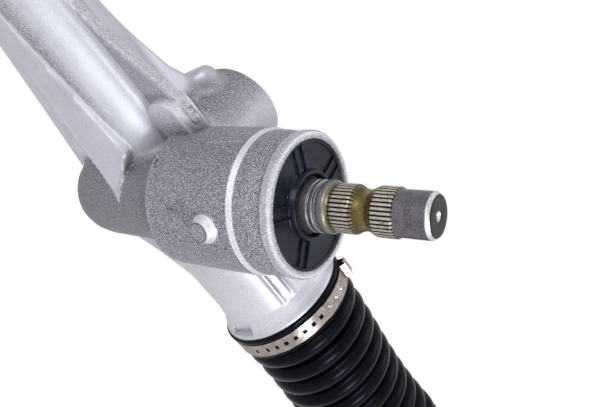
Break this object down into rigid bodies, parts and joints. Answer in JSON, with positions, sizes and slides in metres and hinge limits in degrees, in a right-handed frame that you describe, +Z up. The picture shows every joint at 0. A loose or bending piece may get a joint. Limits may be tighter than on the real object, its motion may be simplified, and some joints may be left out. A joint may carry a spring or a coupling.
{
  "type": "steering rack",
  "caption": "Rack and pinion steering gear: cast housing with splined pinion shaft, folded rubber bellows and inner tie rods that swing as the rack slides.",
  "frame": {"origin": "middle of the bolt bore in the mounting foot beside the pinion, level with the rack axis", "axes": "+X along the rack towards the pinion-side bellows, +Z up that foot's bore and towards the splined end of the pinion, +Y away from the rack; the rack axis is 46 mm towards -Y"},
  "size_m": [1.265, 0.1107, 0.1629],
  "materials": {
    "cast_aluminium": "sand-cast satin",
    "black_plastic": "moulded",
    "bearing_steel": "ground",
    "machined_steel": "turned and oiled",
    "plated_steel": "zinc plated",
    "spring_steel": "oiled",
    "forged_steel": "phosphate coated",
    "stainless_strip": "bright",
    "rubber": "semi-gloss",
    "yoke_metal": "turned",
    "white_plastic": "moulded"
  },
  "bodies": {
    "rack_housing": {"housing": "cast_aluminium", "dust_cap": "black_plastic", "retainer_nut": "plated_steel", "shaft_seal": "rubber", "bearing_outer_ring": "bearing_steel", "needle_cup": "bearing_steel", "needle_rollers": "bearing_steel", "yoke": "yoke_metal", "yoke_liner": "white_plastic", "yoke_o_ring": "rubber", "yoke_spring": "spring_steel", "yoke_plug": "yoke_metal", "rack_bush": "white_plastic", "foot_rubber_a": "rubber", "foot_rubber_b": "rubber", "foot_sleeve_a": "plated_steel", "foot_sleeve_b": "plated_steel", "bellows_right": "rubber", "bellows_left": "rubber", "clamp_band_right": "stainless_strip", "clamp_band_left": "stainless_strip"},
    "pinion": {"pinion_shaft": "machined_steel", "bearing_inner_ring": "bearing_steel", "bearing_balls": "bearing_steel", "pinion_circlip": "plated_steel"},
    "rack": {"rack_bar": "machined_steel", "socket_right": "forged_steel", "socket_left": "forged_steel", "lock_washer_right": "plated_steel", "lock_washer_left": "plated_steel", "ball_seat_right": "white_plastic", "ball_seat_left": "white_plastic"},
    "right_tie_rod": {"tie_rod_right": "forged_steel", "jam_nut_right": "plated_steel", "boot_clip_right": "plated_steel"},
    "left_tie_rod": {"tie_rod_left": "forged_steel", "jam_nut_left": "plated_steel", "boot_clip_left": "plated_steel"}
  },
  "joints": [
    {"name": "rack_slide", "type": "slide", "parent": "rack_housing", "child": "rack", "axis": [1, 0, 0], "range_m": [-0.07, 0.07], "deforming": ["bellows_right", "bellows_left"]},
    {"name": "pinion_turn", "type": "hinge", "parent": "rack_housing", "child": "pinion", "pos_m": [0.128, -0.059, 0], "axis": [0.2706, 0, 0.9627], "range_deg": [-604, 604]},
    {"name": "right_tie_rod_swing", "type": "hinge", "parent": "rack", "child": "right_tie_rod", "pos_m": [0.293, -0.046, 0], "axis": [0, 1, 0], "range_deg": [-18, 18], "deforming": ["bellows_right"]},
    {"name": "left_tie_rod_swing", "type": "hinge", "parent": "rack", "child": "left_tie_rod", "pos_m": [-0.422, -0.046, 0], "axis": [0, 1, 0], "range_deg": [-18, 18], "deforming": ["bellows_left"]}
  ],
  "couplings": [
    {"joint": "pinion_turn", "follows": "rack_slide", "rad_per_m": -150.38}
  ]
}
